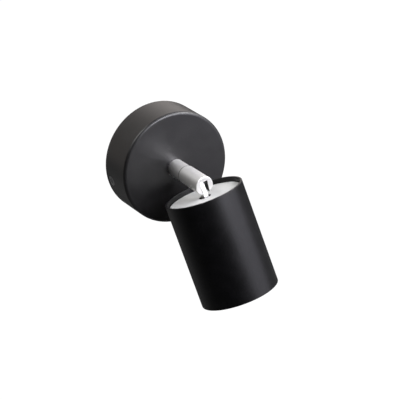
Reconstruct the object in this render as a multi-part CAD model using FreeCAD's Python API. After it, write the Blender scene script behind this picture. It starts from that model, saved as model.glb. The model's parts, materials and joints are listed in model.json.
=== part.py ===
"""Pivoting spotlight wall light: a round canopy, a swivel and tilt stem, and a tubular head with a twist-in lamp.

Millimetres. The origin is at the middle of the face that lies on the wall. +Z is up and -Y points into the room.
Pieces of the canopy and stem are drawn in a wall frame: X to the right, Y up, Z out from the wall.
Pieces of the head are drawn in a head frame: its origin is on the tilt pin, and Z runs to the mouth.
"""

import FreeCAD, Part

import math
import os

from FreeCAD import Vector

# Canopy, the round cover against the wall
canopy_radius = 40.0
canopy_depth = 28.0
canopy_wall = 1.0
canopy_edge_radius = 2.0
dimple_depth = 2.2
dimple_mouth_radius = 4.3
dimple_lip = 0.3

# Stem: a fixed collar, then a barrel that turns on the collar's spigot
collar_radius = 6.15
collar_length = 15.0
barrel_radius = 6.5
barrel_length = 24.9
seam_gap = 0.15
seam_bevel = 0.25
end_bevel = 0.4
wire_bore_radius = 2.75
spigot_radius = 4.5
spigot_length = 8.5
spigot_groove_depth = 0.9
grub_groove_width = 2.2
grub_groove_middle = 4.3
stop_rib_angle = 8.0
grub_tip_radius = 0.55
ring_groove_width = 1.2
ring_groove_middle = 6.9

# Knuckle: a slot in the barrel's end, and the head's arm on a cross pin
slot_width = 5.6
pin_radius = 1.5
pin_setback = 6.5
pin_end_inset = 0.12
arm_thickness = 3.0
arm_half_width = 3.0
slot_side_clearance = 0.15
slot_end_clearance = 0.6

# Head: the shade's radius follows from the lamp's
tilt_at_rest = 75.0
pin_to_rim = 7.0
head_wall = 1.5
head_length = 75.5
head_edge_radius = 0.4
plate_recess = 3.2
plate_thickness = 2.5
plate_edge_radius = 1.0
plate_skirt = 7.0
plate_skirt_wall = 1.2
plate_hole_radius = 4.0

# Arm foot and lamp holder bracket, under the back plate
foot_thickness = 1.8
foot_half_width = 6.0
foot_half_length = 9.6
arm_screw_offset = 7.0
wire_window_setback = 0.1
wire_window_width = 2.2
wire_window_half_height = 2.6
bracket_sheet = 1.0
bracket_half_width = 9.8
bracket_leg_offset = 7.5
bracket_foot_reach = 14.4

# Lamp holder
holder_length = 29.0
holder_width = 20.0
holder_height = 13.0
holder_corner_radius = 6.0
holder_edge_radius = 0.8
holder_screw_offset = 11.0
counterbore_depth = 2.6
keyhole_plate = 2.6
keyhole_depth = 8.4
contact_thickness = 0.5
twist_angle = 25.0

# Lamp, a 50 mm reflector lamp with a two-pin twist base
lamp_radius = 25.0
lamp_to_shade = 1.0
lamp_height = 44.4
lamp_pin_offset = 5.0
lamp_pin_reach = 7.6
lamp_pin_root = 2.7
lamp_neck_radius = 1.55
lamp_head_radius = 2.5
lamp_head_height = 2.4
lamp_base_radius = 9.6
lamp_base_height = 9.0
lamp_base_edge_radius = 0.8
lamp_base_shoulder_radius = 2.0
lamp_throat_radius = 12.0
lamp_throat_height = 13.0
lamp_throat_band = 1.0
lamp_rim_band = 6.5
lamp_bowl_bulge = 2.6
lamp_glass_wall = 1.5
cover_glass_thickness = 1.6
cover_glass_ledge = 1.4
capsule_radius = 4.5
capsule_length = 17.0
capsule_tip_radius = 3.0
capsule_neck_length = 2.0
pinch_width = 9.0
pinch_thickness = 3.2
pinch_length = 8.0

# Wall bracket
bracket_thickness = 1.5
bracket_width = 16.0
ear_height = 11.0
side_screw_height = 6.0
wall_slot_spacing = 56.0
wall_slot_length = 8.0
wall_slot_radius = 2.25

# Terminal block and earth screw
pole_count = 3
pole_pitch = 9.0
block_margin = 4.25
block_width = 17.0
block_base_height = 7.0
tower_radius = 3.2
tower_height = 5.0
tower_offset = 4.2
sleeve_radius = 2.3
sleeve_bore_radius = 1.6
sleeve_length = 14.0
sleeve_height = 4.0
terminal_screw_length = 5.4
earth_screw_x = 18.6
earth_washer_radius = 3.9
earth_washer_thickness = 0.9

# Threaded nipple that clamps the stem to the canopy
nipple_radius = 5.0
nipple_bore_radius = 3.75
nipple_inside = 9.0
nipple_in_collar = 7.0
stem_nut_flats = 14.0
stem_nut_thickness = 3.6
lock_washer_radius = 8.2
lock_washer_thickness = 0.8
lock_washer_teeth = 12
bush_flange_radius = 5.4
bush_flange_thickness = 1.0
bush_wall = 0.9
bush_depth = 4.0

# Screws: shank radius, head radius, head height
m3_radius = 1.5
m3_head_radius = 2.6
m3_head_height = 1.8
m4_radius = 2.0
m4_head_radius = 3.5
m4_head_height = 2.4
side_screw_length = 8.0
side_head_radius = 3.7
side_head_sink = 0.25
screw_to_wall = 0.25
recess_width = 0.8
recess_depth = 1.1

# Fits
thread_clearance = 0.03
seat_gap = 0.05
running_clearance = 0.05
press_gap = 0.01
sliding_gap = 0.3
fixing_hole_clearance = 0.2

# Places that follow from the sizes above
stem_seam = canopy_depth + collar_length
barrel_start = stem_seam + seam_gap
barrel_end = barrel_start + barrel_length
pin_distance = barrel_end - pin_setback
spigot_end = stem_seam + spigot_length
bore_radius = spigot_radius + running_clearance
groove_radius = spigot_radius - spigot_groove_depth
slot_top = arm_half_width + slot_side_clearance
slot_start = pin_distance - arm_half_width - slot_end_clearance

canopy_inner_radius = canopy_radius - canopy_wall
dimple_floor = canopy_radius - dimple_depth
dimple_floor_radius = m4_radius + fixing_hole_clearance + dimple_lip
ear_face = dimple_floor - canopy_wall - seat_gap
bracket_top = bracket_thickness + seat_gap
block_length = (pole_count - 1) * pole_pitch + 2 * block_margin
block_base_top = bracket_top + block_base_height
sleeve_axis_height = bracket_top + sleeve_height

canopy_inside = canopy_depth - canopy_wall
washer_start = canopy_inside - seat_gap - lock_washer_thickness
nut_start = washer_start - seat_gap - stem_nut_thickness
nipple_start = canopy_inside - nipple_inside

head_inner_radius = lamp_radius + lamp_to_shade
head_radius = head_inner_radius + head_wall
plate_face = pin_to_rim + plate_recess
plate_underside = plate_face + plate_thickness
foot_start = plate_underside + seat_gap
foot_end = foot_start + foot_thickness
web_start = foot_end + seat_gap
web_end = web_start + bracket_sheet
holder_start = web_end + seat_gap + m3_head_height + sliding_gap
holder_end = holder_start + holder_height
bracket_foot_start = holder_start - seat_gap - bracket_sheet
lamp_start = holder_end + sliding_gap
lamp_end = lamp_start + lamp_height
throat_top = lamp_start + lamp_throat_height
keyhole_floor = holder_end - keyhole_depth


# Small tools for drawing

def rod(radius, start, length, x=0.0, y=0.0):
    """A cylinder along Z."""
    return Part.makeCylinder(radius, length, Vector(x, y, start))


def cross_rod(radius, low_x, high_x, y, z):
    """A cylinder along X."""
    return Part.makeCylinder(radius, high_x - low_x, Vector(low_x, y, z), Vector(1, 0, 0))


def block(half_x, half_y, start, length, x=0.0, y=0.0):
    """A box centred on (x, y), from start along Z."""
    return Part.makeBox(2 * half_x, 2 * half_y, length, Vector(x - half_x, y - half_y, start))


def span(low, high):
    """A box between two corners."""
    size = [b - a for a, b in zip(low, high)]
    return Part.makeBox(*size, Vector(*low))


def rounded_wire(corners, to_vector):
    """A closed wire through (u, v, radius) corners. A radius is limited by the sides that it joins."""
    count = len(corners)
    points = [Vector(u, v, 0) for u, v, _ in corners]
    turns = []
    for i, (_, _, radius) in enumerate(corners):
        here = points[i]
        back = points[i - 1] - here
        ahead = points[(i + 1) % count] - here
        half_angle = back.getAngle(ahead) / 2
        reach = min(radius / math.tan(half_angle), 0.49 * back.Length, 0.49 * ahead.Length)
        radius = reach * math.tan(half_angle)
        back.normalize()
        ahead.normalize()
        if radius < 1e-6:
            turns.append((here, None, here))
            continue
        to_middle = back + ahead
        to_middle.normalize()
        middle = here + to_middle * (radius / math.sin(half_angle) - radius)
        turns.append((here + back * reach, middle, here + ahead * reach))
    place = lambda p: to_vector(p.x, p.y)
    edges = []
    for i, (enter, middle, leave) in enumerate(turns):
        if middle is not None:
            edges.append(Part.Arc(place(enter), place(middle), place(leave)).toShape())
        following = turns[(i + 1) % count][0]
        edges.append(Part.LineSegment(place(leave), place(following)).toShape())
    return Part.Wire(edges)


def turned(corners):
    """A solid of revolution about Z, from (radius, height, corner radius) corners."""
    face = Part.Face(rounded_wire(corners, lambda u, v: Vector(u, 0, v)))
    return face.revolve(Vector(0, 0, 0), Vector(0, 0, 1), 360)


def ring(outer_radius, inner_radius, start, length):
    """A plain ring about Z."""
    return rod(outer_radius, start, length).cut(rod(inner_radius, start, length))


def plate(corners, start, thickness):
    """A flat plate from (x, y, corner radius) corners, from start along Z."""
    face = Part.Face(rounded_wire(corners, lambda u, v: Vector(u, v, start)))
    return face.extrude(Vector(0, 0, thickness))


def side_plate(corners, half_thickness):
    """A flat plate in the YZ plane from (y, z, corner radius) corners, centred on X."""
    face = Part.Face(rounded_wire(corners, lambda u, v: Vector(-half_thickness, u, v)))
    return face.extrude(Vector(2 * half_thickness, 0, 0))


def hexagon_corner(flats):
    """The radius through a hexagon's corners."""
    return flats / 2 / math.cos(math.radians(30))


def hexagon(flats, start, thickness):
    """A hexagonal prism about Z, with its corners along X."""
    corner = hexagon_corner(flats)
    angles = [math.radians(60 * i) for i in range(6)]
    corners = [(corner * math.cos(a), corner * math.sin(a), 0) for a in angles]
    return plate(corners, start, thickness)


def join(first, *others):
    """One solid from several that overlap."""
    shape = first
    for other in others:
        shape = shape.fuse(other)
    return shape.removeSplitter()


def less(shape, *tools):
    """shape with each tool cut away."""
    for tool in tools:
        shape = shape.cut(tool)
    return shape


def group(solids):
    """Separate solids that share one node."""
    return Part.makeCompound(solids)


def mirrored_pair(shape, axis):
    """shape and its half-turned or mirrored twin across the plane square to axis."""
    return [shape, shape.mirror(Vector(0, 0, 0), axis)]


def moved(shape, x=0.0, y=0.0, z=0.0):
    copy = shape.copy()
    copy.translate(Vector(x, y, z))
    return copy


def turned_by(shape, angle, centre, axis):
    copy = shape.copy()
    copy.rotate(centre, axis, angle)
    return copy


def cross_recess(top, half_span, depth):
    """A cutter for the crossed recess in a screw head, down from top."""
    long_bar = block(half_span, recess_width / 2, top - depth, depth)
    tall_bar = block(recess_width / 2, half_span, top - depth, depth)
    return long_bar.fuse(tall_bar)


def pan_screw(shank_radius, head_radius, head_height, shank_length):
    """A round-headed screw along Z. Its head stands on Z = 0 and its shank goes down."""
    head = turned([
        (0, 0, 0),
        (head_radius, 0, 0),
        (head_radius, head_height, 0.6 * head_height),
        (0, head_height, 0),
    ])
    tip = 0.3 * shank_radius
    shank = turned([
        (0, -shank_length, 0),
        (shank_radius - tip, -shank_length, 0),
        (shank_radius, -shank_length + tip, 0),
        (shank_radius, 0.1 * head_height, 0),
        (0, 0.1 * head_height, 0),
    ])
    screw = join(head, shank)
    return screw.cut(cross_recess(head_height, 0.55 * head_radius, 0.6 * head_height))


# Canopy and its wall bracket, in the wall frame

def wall_bracket():
    """A flat steel strap on the wall, with two ears bent out for the canopy's side screws."""
    half = bracket_width / 2
    strap = plate(
        [(-ear_face, -half, 0), (ear_face, -half, 0), (ear_face, half, 0), (-ear_face, half, 0)],
        0, bracket_thickness,
    )
    shape = strap
    for side in (-1, 1):
        inner = side * (ear_face - bracket_thickness)
        outer = side * ear_face
        low_x, high_x = sorted((inner, outer))
        ear = span((low_x, -half, 0), (high_x, half, ear_height))
        shape = join(shape, ear)
    tapped = m4_radius + thread_clearance
    ear_holes = cross_rod(tapped, -canopy_radius, canopy_radius, 0, side_screw_height)
    shape = less(shape, ear_holes, rod(tapped, 0, bracket_thickness, earth_screw_x))
    for x in block_screw_places():
        shape = shape.cut(rod(m3_radius + thread_clearance, 0, bracket_thickness, x))
    return shape.cut(wall_slots())


def wall_slots():
    """The two slots for the wall screws."""
    reach = wall_slot_length / 2 - wall_slot_radius
    slots = []
    for x in (-wall_slot_spacing / 2, wall_slot_spacing / 2):
        middle = block(reach, wall_slot_radius, 0, bracket_thickness, x)
        ends = [rod(wall_slot_radius, 0, bracket_thickness, x + d) for d in (-reach, reach)]
        slots.append(middle.fuse(ends))
    return group(slots)


def canopy():
    """A pressed cup with a rounded front edge, a stem hole and two screw dimples in its side."""
    hole = nipple_radius + fixing_hole_clearance
    cup = turned([
        (canopy_radius, 0, 0),
        (canopy_radius, canopy_depth, canopy_edge_radius),
        (hole, canopy_depth, 0),
        (hole, canopy_inside, 0),
        (canopy_inner_radius, canopy_inside, max(canopy_edge_radius - canopy_wall, 0)),
        (canopy_inner_radius, 0, 0),
    ])
    for side in (-1, 1):
        cup = cup.fuse(dimple_cone(side, canopy_wall, canopy_wall))
    for side in (-1, 1):
        cup = cup.cut(dimple_cone(side, 0, 0))
    through = m4_radius + fixing_hole_clearance
    return cup.cut(cross_rod(through, -canopy_radius, canopy_radius, 0, side_screw_height))


def dimple_cone(side, extra_radius, extra_depth):
    """The cone of a screw dimple. With the extras it is the pressed metal behind the dimple."""
    start = canopy_radius if extra_depth == 0 else canopy_radius - 0.5 * canopy_wall
    end = dimple_floor - extra_depth
    slope = (dimple_mouth_radius - dimple_floor_radius) / dimple_depth
    start_radius = dimple_floor_radius + slope * (start - dimple_floor) + extra_radius
    end_radius = dimple_floor_radius + extra_radius
    base = Vector(side * start, 0, side_screw_height)
    return Part.makeCone(start_radius, end_radius, start - end, base, Vector(-side, 0, 0))


def side_screws():
    """Two countersunk screws, from the dimples into the bracket's ears."""
    top = canopy_radius - side_head_sink
    head_height = side_head_radius - m4_radius
    tip = 0.3 * m4_radius
    screw = turned([
        (0, 0, 0),
        (side_head_radius, 0, 0.1),
        (m4_radius, -head_height, 0),
        (m4_radius, -side_screw_length + tip, 0),
        (m4_radius - tip, -side_screw_length, 0),
        (0, -side_screw_length, 0),
    ])
    screw = screw.cut(cross_recess(0, 0.55 * side_head_radius, recess_depth))
    left = turned_by(screw, -90, Vector(0, 0, 0), Vector(0, 1, 0))
    left = moved(left, -top, 0, side_screw_height)
    right = turned_by(screw, 90, Vector(0, 0, 0), Vector(0, 1, 0))
    right = moved(right, top, 0, side_screw_height)
    return group([left, right])


# Terminal block, on the bracket

def pole_places():
    return [(i - (pole_count - 1) / 2) * pole_pitch for i in range(pole_count)]


def block_screw_places():
    poles = pole_places()
    return [(a + b) / 2 for a, b in zip(poles, poles[1:])]


def terminal_block():
    """A moulded block with one brass sleeve per pole and a well above each clamp screw."""
    shape = block(block_length / 2, block_width / 2, bracket_top, block_base_height)
    shape = shape.makeFillet(0.6, [e for e in shape.Edges if e.tangentAt(0).z ** 2 > 0.9])
    well_top = block_base_top + tower_height
    for x in pole_places():
        for y in (-tower_offset, tower_offset):
            shape = shape.fuse(rod(tower_radius, block_base_top - 1, tower_height + 1, x, y))
    for x in pole_places():
        tunnel = sleeve_radius + seat_gap
        shape = shape.cut(long_rod(tunnel, block_width, x, sleeve_axis_height))
        for y in (-tower_offset, tower_offset):
            well = m3_radius + fixing_hole_clearance
            shape = shape.cut(rod(well, sleeve_axis_height, well_top - sleeve_axis_height, x, y))
    for x in block_screw_places():
        through = m3_radius + seat_gap
        shape = shape.cut(rod(through, bracket_top, block_base_height, x))
    return shape.removeSplitter()


def long_rod(radius, length, x, z):
    """A cylinder along Y, centred on Y = 0."""
    return Part.makeCylinder(radius, length, Vector(x, -length / 2, z), Vector(0, 1, 0))


def terminal_sleeves():
    """The brass tubes that take the wires, tapped for two clamp screws each."""
    sleeves = []
    for x in pole_places():
        sleeve = long_rod(sleeve_radius, sleeve_length, x, sleeve_axis_height)
        sleeve = sleeve.cut(long_rod(sleeve_bore_radius, sleeve_length, x, sleeve_axis_height))
        for y in (-tower_offset, tower_offset):
            tapped = m3_radius + thread_clearance
            sleeve = sleeve.cut(rod(tapped, sleeve_axis_height, sleeve_radius + 1, x, y))
        sleeves.append(sleeve)
    return group(sleeves)


def terminal_screws():
    """Slotted clamp screws, two in each sleeve."""
    start = sleeve_axis_height + 0.3 * sleeve_bore_radius
    screws = []
    for x in pole_places():
        for y in (-tower_offset, tower_offset):
            screw = rod(m3_radius, start, terminal_screw_length, x, y)
            top = start + terminal_screw_length
            slot = block(m3_radius, recess_width / 2, top - recess_depth, recess_depth, x, y)
            screws.append(screw.cut(slot))
    return group(screws)


def block_screws():
    """Screws that hold the terminal block to the bracket, between its poles."""
    length = block_base_top + seat_gap - screw_to_wall
    screw = pan_screw(m3_radius, m3_head_radius, m3_head_height, length)
    return group([moved(screw, x, 0, block_base_top + seat_gap) for x in block_screw_places()])


def earth_washer():
    """A cupped washer under the earth screw."""
    inner = m4_radius + seat_gap
    washer = turned([
        (inner, bracket_top, 0),
        (earth_washer_radius, bracket_top, 0),
        (earth_washer_radius, bracket_top + earth_washer_thickness, 0.3),
        (inner, bracket_top + earth_washer_thickness, 0),
    ])
    return moved(washer, earth_screw_x)


def earth_screw():
    """The screw that clamps the earth wire to the bracket."""
    seat = bracket_top + earth_washer_thickness + seat_gap
    screw = pan_screw(m4_radius, m4_head_radius, m4_head_height, seat - screw_to_wall)
    return moved(screw, earth_screw_x, 0, seat)


# Stem, in the wall frame

def threaded_nipple():
    """The hollow threaded tube that joins the collar to the canopy."""
    length = canopy_depth + nipple_in_collar - nipple_start
    return ring(nipple_radius, nipple_bore_radius, nipple_start, length)


def nipple_bush():
    """A plastic bush that keeps the wires off the nipple's edge."""
    outer = nipple_bore_radius - seat_gap
    flange_start = nipple_start - seat_gap - bush_flange_thickness
    return turned([
        (outer - bush_wall, flange_start, 0.4),
        (bush_flange_radius, flange_start, 0.3),
        (bush_flange_radius, flange_start + bush_flange_thickness, 0),
        (outer, flange_start + bush_flange_thickness, 0),
        (outer, nipple_start + bush_depth, 0),
        (outer - bush_wall, nipple_start + bush_depth, 0),
    ])


def lock_washer():
    """A toothed washer between the canopy and the stem nut."""
    inner = nipple_radius + fixing_hole_clearance
    washer = ring(lock_washer_radius, inner, washer_start, lock_washer_thickness)
    notch_radius = 0.13 * lock_washer_radius
    for i in range(lock_washer_teeth):
        angle = math.radians(360 * i / lock_washer_teeth)
        x = lock_washer_radius * math.cos(angle)
        y = lock_washer_radius * math.sin(angle)
        washer = washer.cut(rod(notch_radius, washer_start, lock_washer_thickness, x, y))
    return washer


def stem_nut():
    """The hexagon nut inside the canopy, with bevelled corners."""
    nut = hexagon(stem_nut_flats, nut_start, stem_nut_thickness)
    corner = hexagon_corner(stem_nut_flats)
    bevel = 0.5 * (corner - stem_nut_flats / 2)
    nut_end = nut_start + stem_nut_thickness
    limit = turned([
        (0, nut_start, 0),
        (corner - bevel, nut_start, 0),
        (corner, nut_start + bevel, 0),
        (corner, nut_end - bevel, 0),
        (corner - bevel, nut_end, 0),
        (0, nut_end, 0),
    ])
    tapped = nipple_radius + thread_clearance
    return nut.common(limit).cut(rod(tapped, nut_start, stem_nut_thickness))


def stem_collar():
    """The fixed part of the stem: a tapped collar with a grooved spigot for the barrel."""
    groove_mid = stem_seam + grub_groove_middle
    grub_low = groove_mid - grub_groove_width / 2
    ring_low = stem_seam + ring_groove_middle - ring_groove_width / 2
    tapped = nipple_radius + thread_clearance
    shape = turned([
        (tapped, canopy_depth, 0.2),
        (collar_radius, canopy_depth, 0),
        (collar_radius, stem_seam, seam_bevel),
        (spigot_radius, stem_seam, 0),
        (spigot_radius, spigot_end, 0.3),
        (wire_bore_radius, spigot_end, 0.3),
        (wire_bore_radius, canopy_depth + nipple_in_collar + seat_gap, 0),
        (tapped, canopy_depth + nipple_in_collar + seat_gap, 0),
    ])
    groove = ring(spigot_radius + 1, groove_radius, grub_low, grub_groove_width)
    rib_reach = 2 * spigot_radius
    rib_half = rib_reach * math.tan(math.radians(stop_rib_angle / 2))
    rib_corners = [(0, 0, 0), (rib_half, rib_reach, 0), (-rib_half, rib_reach, 0)]
    rib = plate(rib_corners, grub_low, grub_groove_width)
    ring_groove = ring(spigot_radius + 1, groove_radius, ring_low, ring_groove_width)
    return less(shape, groove.cut(rib), ring_groove)


def swivel_friction_ring():
    """A nylon ring in the spigot's second groove. It makes the swivel stay where it is put."""
    low = stem_seam + ring_groove_middle - ring_groove_width / 2 + seat_gap
    width = ring_groove_width - 2 * seat_gap
    return ring(spigot_radius + 0.4 * running_clearance, groove_radius + seat_gap, low, width)


def swivel_barrel():
    """The turning part of the stem, bored for the spigot and slotted for the arm."""
    bore_end = spigot_end + sliding_gap
    shape = turned([
        (bore_radius, barrel_start, 0),
        (barrel_radius, barrel_start, seam_bevel),
        (barrel_radius, barrel_end, end_bevel),
        (0, barrel_end, 0),
        (0, bore_end, 0),
        (bore_radius, bore_end, 0),
    ])
    wire_way = rod(wire_bore_radius, bore_end, slot_start - bore_end)
    low = (-slot_width / 2, -barrel_radius - 1, slot_start)
    high = (slot_width / 2, slot_top, barrel_end + 1)
    pin_hole = cross_rod(pin_radius + press_gap, -barrel_radius, barrel_radius, 0, pin_distance)
    grub_hole = Part.makeCylinder(
        m3_radius + thread_clearance, barrel_radius,
        Vector(0, 0, stem_seam + grub_groove_middle), Vector(0, -1, 0),
    )
    return less(shape, wire_way, span(low, high), pin_hole, grub_hole)


def swivel_grub_screw():
    """The screw under the barrel whose tip runs in the spigot's groove and stops at its rib."""
    tip_end = groove_radius + sliding_gap
    thread_start = bore_radius + seat_gap
    outer_end = barrel_radius - seat_gap
    screw = turned([
        (0, tip_end, 0),
        (grub_tip_radius, tip_end, 0),
        (grub_tip_radius, thread_start, 0),
        (m3_radius, thread_start, 0),
        (m3_radius, outer_end, 0.15),
        (0, outer_end, 0),
    ])
    screw = screw.cut(hexagon(m3_radius, outer_end - recess_depth, recess_depth))
    screw = turned_by(screw, 90, Vector(0, 0, 0), Vector(1, 0, 0))
    return moved(screw, 0, 0, stem_seam + grub_groove_middle)


def pivot_pin():
    """The cross pin of the knuckle, ground almost flush with the barrel."""
    half = barrel_radius - pin_end_inset
    pin = turned([
        (0, -half, 0),
        (pin_radius, -half, 0.3),
        (pin_radius, half, 0.3),
        (0, half, 0),
    ])
    pin = turned_by(pin, 90, Vector(0, 0, 0), Vector(0, 1, 0))
    return moved(pin, 0, 0, pin_distance)


def friction_washers():
    """Dished washers on the pin, one each side of the arm."""
    inner = pin_radius + running_clearance
    outer = arm_half_width - 0.1
    near = arm_thickness / 2 + seat_gap
    far = slot_width / 2 - seat_gap
    sheet = 0.45 * (far - near)
    washer = turned([
        (inner, near, 0),
        (outer, far - sheet, 0),
        (outer, far, 0),
        (inner, near + sheet, 0),
    ])
    washer = turned_by(washer, 90, Vector(0, 0, 0), Vector(0, 1, 0))
    washer = moved(washer, 0, 0, pin_distance)
    return group(mirrored_pair(washer, Vector(1, 0, 0)))


# Head, in the head frame

def tilt_arm():
    """A flat arm with a round eye on the pin, and a foot under the back plate."""
    blade = side_plate(
        [
            (-arm_half_width, 0, 0),
            (arm_half_width, 0, 0),
            (arm_half_width, foot_end, 0),
            (-arm_half_width, foot_end, 0),
        ],
        arm_thickness / 2,
    )
    eye = cross_rod(arm_half_width, -arm_thickness / 2, arm_thickness / 2, 0, 0)
    foot = plate(
        [
            (-foot_half_width, -foot_half_length, 1.5),
            (foot_half_width, -foot_half_length, 1.5),
            (foot_half_width, foot_half_length, 1.5),
            (-foot_half_width, foot_half_length, 1.5),
        ],
        foot_start, foot_thickness,
    )
    pin_hole = cross_rod(pin_radius + running_clearance, -arm_thickness, arm_thickness, 0, 0)
    shape = less(join(blade, eye, foot), pin_hole, wire_windows(foot_start, foot_thickness))
    for y in (-arm_screw_offset, arm_screw_offset):
        through = m3_radius + fixing_hole_clearance
        shape = shape.cut(rod(through, foot_start, foot_thickness, 0, y))
    return shape


def wire_windows(start, thickness):
    """Cutters for the two slots beside the arm that let the wires into the head."""
    x = arm_thickness / 2 + wire_window_setback + wire_window_width / 2
    window = block(wire_window_width / 2, wire_window_half_height, start, thickness, x)
    return group(mirrored_pair(window, Vector(1, 0, 0)))


def back_plate():
    """The round plate near the rear rim, with a skirt that is pressed into the tube."""
    outer = head_inner_radius - press_gap
    inner = outer - plate_skirt_wall
    shape = turned([
        (plate_hole_radius, plate_face, 0.3),
        (outer, plate_face, plate_edge_radius),
        (outer, plate_face + plate_skirt, 0.2),
        (inner, plate_face + plate_skirt, 0.2),
        (inner, plate_underside, 0.5),
        (plate_hole_radius, plate_underside, 0),
    ])
    depth = 0.8 * plate_thickness
    for y in (-arm_screw_offset, arm_screw_offset):
        tapped = m3_radius + thread_clearance
        shape = shape.cut(rod(tapped, plate_underside - depth, depth, 0, y))
    return shape


def arm_screws():
    """Screws from below, through the bracket and the arm's foot into the back plate."""
    length = web_end + seat_gap - (plate_underside - 0.7 * plate_thickness)
    screw = pan_screw(m3_radius, m3_head_radius, m3_head_height, length)
    screws = []
    for y in (-arm_screw_offset, arm_screw_offset):
        screws.append(moved(screw, 0, y, web_end + seat_gap))
    return group(screws)


def holder_bracket():
    """A hat-shaped steel strip that carries the lamp holder clear of the arm's screws."""
    half = bracket_half_width
    leg_outer = bracket_leg_offset + bracket_sheet
    shape = block(leg_outer, half, web_start, bracket_sheet)
    foot_end_z = bracket_foot_start + bracket_sheet
    for side in (-1, 1):
        low_x, high_x = sorted((side * bracket_leg_offset, side * leg_outer))
        leg = span((low_x, -half, web_start), (high_x, half, foot_end_z))
        low_x, high_x = sorted((side * bracket_leg_offset, side * bracket_foot_reach))
        foot = span((low_x, -half, bracket_foot_start), (high_x, half, foot_end_z))
        shape = join(shape, leg, foot)
    for y in (-arm_screw_offset, arm_screw_offset):
        through = m3_radius + fixing_hole_clearance
        shape = shape.cut(rod(through, web_start, bracket_sheet, 0, y))
    for x in (-holder_screw_offset, holder_screw_offset):
        tapped = m3_radius + thread_clearance
        shape = shape.cut(rod(tapped, bracket_foot_start, bracket_sheet, x))
    return shape.cut(wire_windows(web_start, bracket_sheet))


def lamp_holder():
    """The ceramic holder, with two keyhole slots for the lamp's pins."""
    half_x, half_y, corner = holder_length / 2, holder_width / 2, holder_corner_radius
    shape = plate(
        [(-half_x, -half_y, corner), (half_x, -half_y, corner),
         (half_x, half_y, corner), (-half_x, half_y, corner)],
        holder_start, holder_height,
    )
    shape = shape.makeFillet(holder_edge_radius, face_edges(shape, holder_end))
    for x in (-holder_screw_offset, holder_screw_offset):
        through = m3_radius + fixing_hole_clearance
        seat = m3_head_radius + 2 * fixing_hole_clearance
        shape = shape.cut(rod(through, holder_start, holder_height, x))
        shape = shape.cut(rod(seat, holder_end - counterbore_depth, counterbore_depth, x))
    for side in (-1, 1):
        shape = shape.cut(keyhole(side))
        wire_way = rod(sleeve_bore_radius, holder_start, holder_height, 0, side * lamp_pin_offset)
        below = span(
            (-half_x, -half_y, holder_start), (half_x, half_y, keyhole_floor)
        )
        shape = shape.cut(wire_way.common(below))
    return shape


def face_edges(shape, height):
    """The edges of shape that lie in the plane Z = height."""
    found = []
    for edge in shape.Edges:
        if all(abs(v.Z - height) < 1e-6 for v in edge.Vertexes):
            found.append(edge)
    return found


def arc_slot(half_width, start, length, side):
    """A slot about Z that the lamp's pin sweeps through, on one side of the axis."""
    outer = Part.makeCylinder(
        lamp_pin_offset + half_width, length, Vector(0, 0, start), Vector(0, 0, 1), twist_angle
    )
    sweep = outer.cut(rod(lamp_pin_offset - half_width, start, length))
    sweep = turned_by(sweep, 90 * side, Vector(0, 0, 0), Vector(0, 0, 1))
    ends = [rod(half_width, start, length, *pin_place(angle, side)) for angle in (0, twist_angle)]
    return sweep.fuse(ends)


def pin_place(angle, side):
    """Where a lamp pin is when the lamp is turned by angle from its locked position."""
    a = math.radians(angle)
    return -side * lamp_pin_offset * math.sin(a), side * lamp_pin_offset * math.cos(a)


def keyhole(side):
    """The cutter for one keyhole: a wide entry, a narrow slot and the room behind it."""
    wide = lamp_head_radius + sliding_gap
    narrow = lamp_neck_radius + sliding_gap
    entry = rod(wide, keyhole_floor, keyhole_depth, *pin_place(twist_angle, side))
    slot = arc_slot(narrow, holder_end - keyhole_plate, keyhole_plate, side)
    room = arc_slot(wide, keyhole_floor, keyhole_depth - keyhole_plate, side)
    return room.fuse([slot, entry])


def holder_screws():
    """The two long screws that hold the lamp holder to its bracket."""
    seat = holder_end - counterbore_depth + seat_gap
    length = seat - bracket_foot_start + 0.5
    screw = pan_screw(m3_radius, m3_head_radius, m3_head_height, length)
    return group([moved(screw, x, 0, seat) for x in (-holder_screw_offset, holder_screw_offset)])


def contact_springs():
    """The two contacts on the floors of the keyholes."""
    springs = []
    for side in (-1, 1):
        half_width = lamp_head_radius
        springs.append(arc_slot(half_width, keyhole_floor + seat_gap, contact_thickness, side))
    return group(springs)


def shade_tube():
    """The outer tube of the head, open at both ends."""
    start, end = pin_to_rim, pin_to_rim + head_length
    return turned([
        (head_inner_radius, start, head_edge_radius),
        (head_radius, start, head_edge_radius),
        (head_radius, end, head_edge_radius),
        (head_inner_radius, end, head_edge_radius),
    ])


# Lamp, in the head frame

def lamp_base():
    """The insulating base of the lamp."""
    shape = turned([
        (0, lamp_start, 0),
        (lamp_base_radius, lamp_start, lamp_base_edge_radius),
        (lamp_base_radius, lamp_start + lamp_base_height, lamp_base_shoulder_radius),
        (lamp_throat_radius, throat_top - lamp_throat_band, 0),
        (lamp_throat_radius, throat_top, 0),
        (0, throat_top, 0),
    ])
    hole_radius = lamp_neck_radius + thread_clearance
    depth = lamp_pin_root + seat_gap
    for y in (-lamp_pin_offset, lamp_pin_offset):
        shape = shape.cut(rod(hole_radius, lamp_start, depth, 0, y))
    return shape.cut(pinch(sliding_gap))


def pinch(extra):
    """The flat pressed end of the capsule, or with extra the socket for it."""
    start = throat_top - pinch_length - extra
    half_x = pinch_width / 2 + extra
    half_y = pinch_thickness / 2 + extra
    return block(half_x, half_y, start, pinch_length + extra + capsule_neck_length)


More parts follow.
